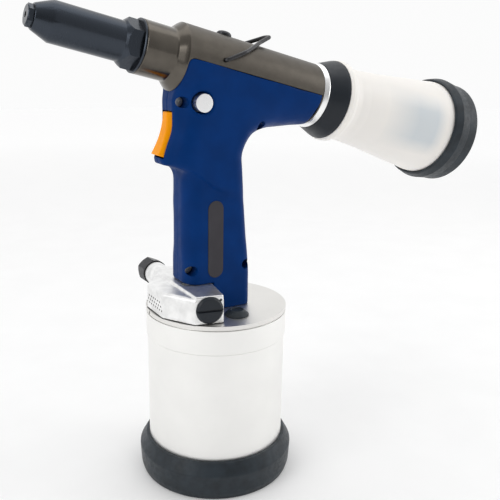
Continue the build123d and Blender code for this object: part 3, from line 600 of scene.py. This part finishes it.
# half width of the upper body at heights, and how far below the barrel's axis its rear is round
HEAD_Z = [205, 214, 235, 250, 270, 288, 300]
HEAD_HALF = [17.7, 18.1, 18.6, 19.3, 20.5, 21.8, 22.0]
TAIL_X = [20, 40, 71]
TAIL_REACH = [37.0, 30.0, 22.4]
TAIL_HALF = 22.2
CREASE_X = [-46, -31, -24, -18.5, -11.1, 0, 30]
CREASE_Z = [228.6, 226.6, 223.6, 220.0, 214.2, 209, 200]
SEAM_HALF = 0.28  # half width of the parting line's groove
FUNNEL_DEPTHS = [13.5, 17.0, 20.5, 24.0]  # the recess round the suction button, towards -Y
FUNNEL_RADII = [6.5, 6.8, 7.6, 9.4]
FRONT_FLAT_HALF = 8.6
FLANK_FOOT = (-37.0, -24.0)  # the oblique flank runs from here back to here
FLANK_RISE = 12.4
FLANK_LEAN = 5.0  # how far it moves forward towards the foot of the upper body


def edge_radius(x, z):
    """Corner radius at a place of the side view, blended from the listed ones nearby."""
    weight, total = 0.0, 0.0
    for ax, az, radius in EDGE_RADII:
        near = 1 / ((x - ax) ** 2 + (z - az) ** 2 + 9.0) ** 2
        weight = weight + near
        total = total + near * radius
    return total / weight


def head_half(x, z):
    """Half width of the upper body: flush with the barrel at the seam, slimmer lower down."""
    slab = np.interp(z, HEAD_Z, HEAD_HALF)
    drop = np.maximum(below_axis(x, z), 0) / np.interp(x, TAIL_X, TAIL_REACH)
    pipe = np.minimum(TAIL_HALF * np.sqrt(np.maximum(1 - drop ** 2, 0.02)), BARREL_R)
    tail = step_up(x, 10, 45)
    return slab * (1 - tail) + pipe * tail


def crease_height(x):
    """Height of the soft crease where the upper body narrows to the handle."""
    return np.interp(x, CREASE_X, CREASE_Z)


def grip_skin(x, y, z):
    """Outside of both grip halves, with the groove of the parting line."""
    label_side = -y
    y = np.abs(y)
    edge = outline_distance(GRIP_OUTLINE, x, z)
    radius = edge_radius(x, z)
    run = FLANK_FOOT[1] - FLANK_FOOT[0]
    length = (run ** 2 + FLANK_RISE ** 2) ** 0.5
    lean = FLANK_LEAN * step_up(z, 262, 232)
    flank = (run * (y - FRONT_FLAT_HALF) - FLANK_RISE * (x - FLANK_FOOT[0] + lean)) / length
    head_side = smooth_max(y - head_half(x, z), flank, 5.0)
    saddle = np.hypot(y, below_axis(x, z)) - BARREL_R + 4 * step_up(x, -15, 10)
    head_side = smooth_min(head_side, saddle, 3.0)
    head = round_edge(edge, head_side, radius)
    handle = round_edge(edge, y - HANDLE_HALF, radius)
    soft = 1.5 + 3.5 * step_up(x, -12, 8)
    upper = step_up(z - crease_height(x), -soft, soft)
    skin = handle + (head - handle) * upper
    away = np.hypot(x - BUTTON[0], z - BUTTON[1])
    funnel = np.maximum(away - np.interp(label_side, FUNNEL_DEPTHS, FUNNEL_RADII),
                        FUNNEL_DEPTHS[0] - label_side)
    skin = smooth_max(skin, -funnel, 1.6)
    foot = np.minimum(HANDLE_BOTTOM - z, np.maximum(SKIRT_BOTTOM - z, SKIRT_FRONT - x))
    skin = round_edge(skin, foot, 0.8 + 1.0 * step_up(x, -20, -29))
    seam = 0.12 + 0.30 * step_up(z, 222, 232)
    return skin + seam * np.exp(-(y / SEAM_HALF) ** 2)


def grip_inside(x, y, z):
    """The hollow in the grip, a wall's thickness inside its skin."""
    return grip_skin(x, y + 1.0, z) + GRIP_WALL


def side_view(u, v, w):
    """Place of an outline in the side view: u along X, v up, w towards -Y."""
    return Vector((u, -w, v))


def plan_view(u, v, w):
    """Place of an outline seen from above: u along X, v along Y, w up."""
    return Vector((u, v, w))


def rear_view(u, v, w):
    """Place of an outline seen along X: u along Y, v up, w along X."""
    return Vector((w, u, v))


def along_axis(axis):
    """Places a round outline square to an axis, with w along it."""
    origin, direction = axis
    first, second = basis(direction)
    return lambda u, v, w: origin + first * u + second * v + direction * w


def disc_outline(u, v, radius, count=40):
    return [(u + radius * cos(2 * pi * k / count), v + radius * sin(2 * pi * k / count))
            for k in range(count)]


def slot_outline(u, v, width, height, count=16):
    """Upright rounded slot."""
    radius, reach = width / 2, height / 2 - width / 2
    points = []
    for sign, start in ((1, 0.0), (-1, pi)):
        for k in range(count + 1):
            angle = start + pi * k / count
            points.append((u + radius * cos(angle), v + sign * reach + radius * sin(angle)))
    return points


def bore(item, name, axis, radius, low, high, count):
    """Round hole along an axis."""
    cut(item, prism(name, disc_outline(0, 0, radius, count), low, high, along_axis(axis)))


BOSS_R = 4.6  # posts round the grip screws
SCREW_HOLE_R = 3.6
SCREW_BORE_R = 1.6
BARREL_SEAT_R = 20.25
COLUMN_R = 9.9  # the hydraulic tube's passage in the foot of the grip
BUTTON_HOLE_R = 6.25
BUTTON_BORE_R = 3.3
LABEL_SEAT = 15.2  # from the middle plane to the bottom of the label's pocket
TRIGGER_SLOT = [(-60, 236.5), (-44.6, 234.2), (-41.0, 232.9), (-35.0, 232.0), (-27, 231.0),
                (-24, 264.0), (-60, 264.0)]


def make_grip():
    step = 0.8
    fine = [0.1, 0.25, 0.42, 0.65, 1.0, 1.5, 2.2]  # closer layers near the parting line
    half = fine + list(np.arange(3.0, 24.5, step))
    ys = np.array([-v for v in reversed(half)] + half)
    xs, zs = np.arange(-47, 74, step), np.arange(125.5, 300, step)
    shell = from_field("grip_shell", grip_skin, xs, ys, zs)
    coarse = 1.7
    void = from_field("void", grip_inside, np.arange(-47, 74, coarse),
                      np.arange(-25.2, 26, coarse), np.arange(125, 300, coarse))
    for u, v in SCREWS:
        cut(void, prism("boss", disc_outline(u, v, BOSS_R), -30, 30, side_view))
    cut(shell, void)
    for name, axis, low, high, radius in (("seat", BARREL_AXIS, -90, 50, BARREL_SEAT_R),
                                          ("column", CYLINDER_AXIS, 100, 155, COLUMN_R)):
        profile = [(low, 0), (low, radius), (high, radius), (high, 0)]
        cut(shell, turned(name, axis, profile, 0))
    slot_half = TRIGGER_HALF + 0.4
    cut(shell, prism("slot", TRIGGER_SLOT, -slot_half, slot_half, side_view))
    cut(shell, prism("button_hole", disc_outline(*BUTTON, BUTTON_HOLE_R, 64), 8, 40, side_view))
    cut(shell, prism("button_bore", disc_outline(*BUTTON, BUTTON_BORE_R), -40, 9, side_view))
    other = shell.copy()
    other.data = shell.data.copy()
    bpy.context.scene.collection.objects.link(other)
    block = [(-80, 100), (100, 100), (100, 320), (-80, 320)]
    left = cut(shell, prism("half", block, 0.0, 60, side_view), "INTERSECT")
    right = cut(other, prism("half", block, -60, 0.0, side_view), "INTERSECT")
    for u, v in SCREWS:
        cut(left, prism("screw_hole", disc_outline(u, v, SCREW_HOLE_R), SCREW_DEPTH, 40, side_view))
        for item in (left, right):
            cut(item, prism("screw_bore", disc_outline(u, v, SCREW_BORE_R), -10, 40, side_view))
    pocket = slot_outline(*LABEL_CENTRE, *LABEL_SIZE)
    cut(left, prism("label_pocket", pocket, LABEL_SEAT, 30, side_view))
    left.name, right.name = "grip_shell_left", "grip_shell_right"
    finish_piece(left, "root", "grip_blue", ["grip_left"], 34, False)
    finish_piece(right, "root", "grip_blue", ["grip_right"], 34, False)


# ---- trigger -------------------------------------------------------------------------------------
TRIGGER_FOOT, TRIGGER_TOP = 235.8, 263.2
TRIGGER_LIP = -46.4  # X of the finger face at the foot
TRIGGER_PIN = (-32.5, 258.5)
TRIGGER_PIN_R = 1.55


def trigger_rise(z):
    """0 at the foot of the trigger and 1 at its top."""
    return (z - TRIGGER_FOOT) / (TRIGGER_TOP - TRIGGER_FOOT)


def trigger_front(z):
    """X of the finger face: hollow in the middle, with a lip at the bottom."""
    t = trigger_rise(z)
    return TRIGGER_LIP + 16.2 * t - 8.4 * t * t


def trigger_skin(x, y, z):
    """Trigger: bevelled finger face, straight sides and a back that steps out at the pin."""
    y = np.abs(y)
    front = trigger_front(z) - x
    flat_half = 6.0 - 2.8 * trigger_rise(z)
    bevel = ((y - flat_half) * 4.0 - (x - trigger_front(z)) * (TRIGGER_HALF - flat_half)) / 4.6
    back = x - (-40.4 + 0.30 * (z - 234.0) + 5.0 * step_up(z, 251, 256))
    bottom = (TRIGGER_FOOT + 0.1 - z) - 0.34 * (x - TRIGGER_LIP)
    skin = smooth_max(smooth_max(front, bevel, 0.7), y - TRIGGER_HALF, 0.7)
    skin = smooth_max(skin, smooth_max(z - TRIGGER_TOP, back, 0.7), 0.8)
    return smooth_max(smooth_max(skin, bottom * 0.95, 0.8), x + 29.0, 0.6)


def make_trigger():
    step = 0.4
    item = from_field("trigger_lever", trigger_skin, np.arange(-48.5, -27, step),
                      np.arange(-8.4, 8.5, step), np.arange(231, 265.5, step))
    hole = disc_outline(*TRIGGER_PIN, TRIGGER_PIN_R, 24)
    cut(item, prism("pin_hole", hole, -12, 12, side_view))
    finish_piece(item, "trigger", "trigger_orange", ["trigger"], 40, False)


# ---- valve block ---------------------------------------------------------------------------------
BLOCK_BOTTOM = 127.8
BLOCK_TOP = 145.5
SPOOL_BOX_TOP = 147.0
SPOOL_Z = 137.4
WALL_RIGHT, WALL_LEFT = Vector((-16.0, -40.5, 0)), Vector((-35.3, -36.5, 0))
WALL_ALONG = (WALL_RIGHT - WALL_LEFT).normalized()
WALL_OUT = Vector((WALL_ALONG.y, -WALL_ALONG.x, 0))
SPOOL_AXIS = ((WALL_RIGHT + WALL_LEFT) / 2 + Vector((0, 0, SPOOL_Z)), WALL_OUT)
INLET_AXIS = (Vector((-23.7, 55.0, 137.2)), Vector((0, 1, 0)))
INLET_NECK_R = 8.75
INLET_NECK_LENGTH = 26
INLET_DRILLING = 74.0  # how far the air passage runs in from the neck's end
CHAMBER_PLAN = [(-46.4, -13.4), (-36.0, -13.4), (-36.0, 11.5), (-46.4, 11.5)]  # behind the vents
CHAMBER_TOP = 141.0
VENT_ROWS = [(6, 137.8), (7, 135.1), (8, 132.4)]  # holes in a row and their height
VENT_PITCH = 3.45
VENT_Y = -1.3
VENT_R = 0.75
BLOCK_SCREWS = [(-17.5, 11.0), (-28.5, -8.0)]
PILOT_AXIS = upright(-21.0, 0, SPOOL_BOX_TOP - 4.1)
LOCK_AXIS = (Vector((-18.1, -40.07, 143.7)), WALL_OUT)  # the screw that locks the slotted plug
# round holes of the casting: name, axis, radius, where it starts and ends, sides
BLOCK_BORES = [("spool_bore", SPOOL_AXIS, 6.0, -22, 5, 40),
               ("inlet_bore", INLET_AXIS, 3.95, -10, 5, 40),
               ("drilling", INLET_AXIS, 2.2, -INLET_DRILLING, -9, 24),
               ("pilot_bore", PILOT_AXIS, 2.05, 0, 12, 20)]
for x, y in BLOCK_SCREWS:
    BLOCK_BORES += [("screw_bore", upright(x, y), 1.6, 120, 160, 20),
                    ("screw_seat", upright(x, y), 3.0, BLOCK_TOP - 4, 160, 24)]
BLOCK_BORES.append(("pin_hole", LOCK_AXIS, 0.95, -6, 5, 20))
RIDGE_X = -34.7  # front wall of the spool box
BAR_PLAN = [(-32.5, 36.5), (-15.0, 36.5), (-10.8, 16.4), (-14.0, 16.4), (-14.0, -13.5),
            (-10.8, -13.5), (-16.0, -40.5)]
BAR_CORNERS = [3, 2, 0.8, 1, 1, 0.8, 1.2]
BLOCK_PLAN = rounded([(-35.3, -36.5), (-48.8, -14.2), (-48.8, 11.5), (-34.0, 31.0), *BAR_PLAN],
                     [2.5, 4, 5, 6, *BAR_CORNERS])
SPOOL_BOX_PLAN = rounded([(RIDGE_X, -36.6), (RIDGE_X, 29.5), *BAR_PLAN], [1.2, 5, *BAR_CORNERS])


def block_skin(x, y, z):
    """Casting: silencer chamber, spool box standing proud of it, and the round inlet neck."""
    low = BLOCK_BOTTOM - z
    chamber = round_edge(outline_distance(BLOCK_PLAN, x, y), z - BLOCK_TOP, 2.6)
    box = round_edge(outline_distance(SPOOL_BOX_PLAN, x, y), z - SPOOL_BOX_TOP, 1.1)
    end = INLET_AXIS[0]
    reach = y - end.y
    away = np.hypot(x - end.x, z - end.z)
    neck = round_edge(away - INLET_NECK_R, np.maximum(reach, -INLET_NECK_LENGTH - reach), 0.7)
    skin = smooth_min(smooth_min(chamber, box, 0.9), neck, 1.6)
    return np.maximum(skin, low)


def make_valve_block():
    step = 0.55
    item = from_field("valve_casting", block_skin, np.arange(-51, -8, step),
                      np.arange(-43, 58, step), np.arange(126.2, 149.5, step))
    cut(item, prism("chamber", CHAMBER_PLAN, BLOCK_BOTTOM - 3, CHAMBER_TOP, plan_view))
    for count, height in VENT_ROWS:
        for column in range(count):
            across = VENT_Y + VENT_PITCH * (column - (count - 1) / 2)
            hole = disc_outline(across, height, VENT_R, 14)
            cut(item, prism("vent", hole, -60, -45.5, rear_view))
    for name, axis, radius, low, high, count in BLOCK_BORES:
        bore(item, name, axis, radius, low, high, count)
    finish_piece(item, "root", "cast_aluminium", ["valve_block"], 34, False)


# ---- turned pieces -------------------------------------------------------------------------------
def make_air_cylinder():
    turned_piece("boot_ring", CYLINDER_AXIS, "root", "black_rubber", "rubber_boot",
                 [(0, 0), (0, 54.4, 1.6), (5, 56.0, 8), (18.7, 56.8, 3.0), (27.3, 51.9, 1.1),
                  (27.3, 49.7, 0.3), (3.0, 49.7, 0.3), (3.0, 0)])
    turned_piece("can_shell", CYLINDER_AXIS, "root", "bright_aluminium", "cylinder_can",
                 [(3.0, 0), (3.0, 47.6, 1), (5.0, 49.6, 1), (106.0, 49.6, 0.5), (106.9, 50.4, 0.5),
                  (123.6, 50.4, 0.15), (123.6, 49.3, 0.1), (124.1, 49.3, 0.1), (124.1, 46.6, 0.2),
                  (7, 46.6, 0.5), (7, 0)], 192)
    turned_piece("rubber_plug", upright(*HEAD_PLUG), "root", "black_rubber", "head_plug",
                 [(118, 0), (118, 3.4), (127.2, 3.4, 0.1), (127.2, 8.3, 0.2), (127.9, 8.45, 0.3),
                  (129.9, 6.3, 0.7), (131.25, 4.6, 0.4), (130.6, 3.7, 0.5), (130.4, 0)], 64)


def make_collector():
    turned_piece("rear_ring_polished", BARREL_AXIS, "root", "turned_aluminium", "rear_ring",
                 [(-78.5, 15.6, 0.1), (-78.5, 23.0, 0.3), (-77.6, 23.2, 0.3), (-75.2, 22.3, 0.3),
                  (-74.5, 21.7, 0.2), (-74.5, 15.6, 0.1)])
    turned_piece("collector_collar_moulded", BARREL_AXIS, "root", "black_plastic",
                 "collector_collar",
                 [(-78.7, 15.7, 0.2), (-78.7, 23.3, 0.3), (-81, 24.2, 2), (-90.5, 28.0, 1.5),
                  (-92.9, 28.7, 0.4), (-92.9, 24.6, 0.2), (-95.5, 24.6, 0.2), (-95.5, 23.2, 0.2),
                  (-98.5, 23.2, 0.2), (-98.5, 24.6, 0.2), (-104, 24.2, 0.4), (-104, 22, 0.4),
                  (-84, 18.5, 1)])
    turned_piece("collector_bottle_blown", BARREL_AXIS, "collector", "clear_plastic",
                 "collector_bottle",
                 [(-93.2, 24.9, 0.2), (-93.2, 28.6, 0.5), (-95.2, 29.6, 1.5), (-98.4, 29.4, 2),
                  (-101.5, 27.3, 2.5), (-106, 26.5, 5), (-114, 26.8, 8), (-132, 28.6, 30),
                  (-156, 31.8, 40), (-180, 34.9, 12), (-190, 36.4, 5), (-193.8, 36.6, 1),
                  (-196, 36.0, 0.5), (-196, 34.7, 0.3), (-192, 34.9, 2), (-180, 33.3, 12),
                  (-156, 30.3, 40), (-132, 27.1, 30), (-114, 25.3, 8), (-106, 24.9, 5)], 160)
    turned_piece("collector_bumper", BARREL_AXIS, "collector", "black_rubber",
                 "collector_end_ring",
                 [(-191.5, 36.9, 0.2), (-191.1, 37.9, 0.5), (-192.4, 38.8, 1), (-198.2, 40.5, 0.5),
                  (-206.3, 39.6, 0.6), (-206.9, 39.0, 0.5), (-215.3, 39.2, 1.5),
                  (-217.5, 37.4, 1.2), (-217.5, 33.5, 0.8), (-199.1, 33.5, 0.2),
                  (-199.1, 36.9, 0.2)], 160)


def make_button():
    axis = (Vector((BUTTON[0], 0, BUTTON[1])), Vector((0, -1, 0)))
    turned_piece("suction_button_turned", axis, "suction", "turned_aluminium", "suction_button",
                 [(-18, 0), (-18, 3.0, 0.3), (12.5, 3.0, 0.1), (12.5, 5.9, 0.3),
                  (22.0, 5.9, 0.45), (22.0, 0)], 96)


# ---- studio --------------------------------------------------------------------------------------
FOCAL_PIXELS = 683.1
PICTURE_PIXELS = 500
SENSOR = 36.0
# where the camera stands, and the directions of its axes
CAMERA_PLACE = (-222.36, -413.30, 293.92)
CAMERA_RIGHT = (0.85788, -0.51352, 0.01826)
CAMERA_UP = (0.11987, 0.23456, 0.96468)
CAMERA_BACK = (-0.49967, -0.82540, 0.26278)
OBJECT_MIDDLE = Vector((0.0, 0.0, 0.2))
# name, place, width, height and power
SOFTBOXES = [("key", (-1.05, -0.25, 0.75), 0.6, 0.8, 3.6),
             ("top", (0.15, 0.1, 1.25), 1.0, 1.0, 2.4),
             ("side", (1.0, -0.45, 0.6), 0.4, 0.9, 2.2)]
ROOM_LIGHT = 1.0  # brightness of the room behind the object and beside it
ROOM_DARK = 0.30  # brightness of the room behind the camera
ROOM_FACING = (0.52, 0.85, 0.0)  # about the way that the camera faces
BACKDROP = 0.97  # brightness of the background that the camera sees
FLOOR_HALF = 4.0
FLOOR_PAINTED_GLOW = (0.12, 0.30)  # painted glow of the floor, which is no lamp, near the object and far off
FLOOR_PAINTED_GLOW_REACH = (0.2, 2.2)  # where the first gives way to the second


def make_camera():
    data = bpy.data.cameras.new("camera")
    data.sensor_width = SENSOR
    data.lens = FOCAL_PIXELS / PICTURE_PIXELS * SENSOR
    data.clip_start, data.clip_end = 0.01, 20
    camera = bpy.data.objects.new("camera", data)
    turn = Matrix((CAMERA_RIGHT, CAMERA_UP, CAMERA_BACK)).transposed()
    camera.matrix_world = Matrix.Translation(Vector(CAMERA_PLACE) * MM) @ turn.to_4x4()
    bpy.context.scene.collection.objects.link(camera)
    bpy.context.scene.camera = camera


def softbox(name, place, width, height, power):
    """Rectangular lamp that faces the middle of the object; metres and watts."""
    data = bpy.data.lights.new(name, "AREA")
    data.shape = "RECTANGLE"
    data.size, data.size_y = width, height
    data.energy = power
    lamp = bpy.data.objects.new(name, data)
    lamp.location = place
    aim = OBJECT_MIDDLE - Vector(place)
    lamp.rotation_euler = aim.to_track_quat("-Z", "Y").to_euler()
    bpy.context.scene.collection.objects.link(lamp)


def make_studio():
    corners = [(-FLOOR_HALF, -FLOOR_HALF, 0), (FLOOR_HALF, -FLOOR_HALF, 0),
               (FLOOR_HALF, FLOOR_HALF, 0), (-FLOOR_HALF, FLOOR_HALF, 0)]
    mesh = bpy.data.meshes.new("floor")
    mesh.from_pydata(corners, [], [(0, 1, 2, 3)])
    floor = bpy.data.objects.new("floor", mesh)
    # The floor glows though it is no lamp: painted light that lifts it towards white, weaker near
    # the object than far off.
    paper = Finish("floor_paper", (0.80, 0.80, 0.80), 0.8, Emission_Color=(1, 1, 1, 1))
    paper.mottle(paper.noise(60), 0.01)
    where = paper.node("ShaderNodeTexCoord")
    distance = paper.node("ShaderNodeVectorMath", operation="LENGTH")
    paper.link(where.outputs["Object"], distance.inputs[0])
    painted_glow = paper.ramp(distance.outputs["Value"], *FLOOR_PAINTED_GLOW, *FLOOR_PAINTED_GLOW_REACH)
    paper.link(painted_glow, paper.shader.inputs["Emission Strength"])
    mesh.materials.append(paper.material)
    bpy.context.scene.collection.objects.link(floor)
    world = bpy.data.worlds.new("studio")
    world.use_nodes = True
    tree = world.node_tree
    sky = tree.nodes["Background"]
    where = tree.nodes.new("ShaderNodeTexCoord")
    facing = tree.nodes.new("ShaderNodeVectorMath")
    facing.operation = "DOT_PRODUCT"
    facing.inputs[1].default_value = ROOM_FACING
    room = tree.nodes.new("ShaderNodeMapRange")
    for socket, value in (("From Min", -1.0), ("From Max", 0.2),
                          ("To Min", ROOM_DARK), ("To Max", ROOM_LIGHT)):
        room.inputs[socket].default_value = value
    path = tree.nodes.new("ShaderNodeLightPath")
    mix = tree.nodes.new("ShaderNodeMix")
    mix.inputs["B"].default_value = BACKDROP
    tree.links.new(where.outputs["Generated"], facing.inputs[0])
    tree.links.new(facing.outputs["Value"], room.inputs["Value"])
    tree.links.new(room.outputs["Result"], mix.inputs["A"])
    tree.links.new(path.outputs["Is Camera Ray"], mix.inputs["Factor"])
    tree.links.new(mix.outputs["Result"], sky.inputs["Strength"])
    sky.inputs["Color"].default_value = (1, 1, 1, 1)
    bpy.context.scene.world = world
    for lamp in SOFTBOXES:
        softbox(*lamp)
    bpy.context.scene.view_settings.view_transform = "Standard"


dress_cad_nodes()
make_grip()
make_trigger()
make_valve_block()
make_air_cylinder()
make_collector()
make_button()
for node_name, edge in (("nose_sleeve", 0.15), ("cylinder_head", 0.25), ("inlet_nut", 0.3),
                        ("slotted_plug", 0.25)):
    soften(node_name, edge)
soften("barrel", 0.2, 12)
make_studio()
make_camera()
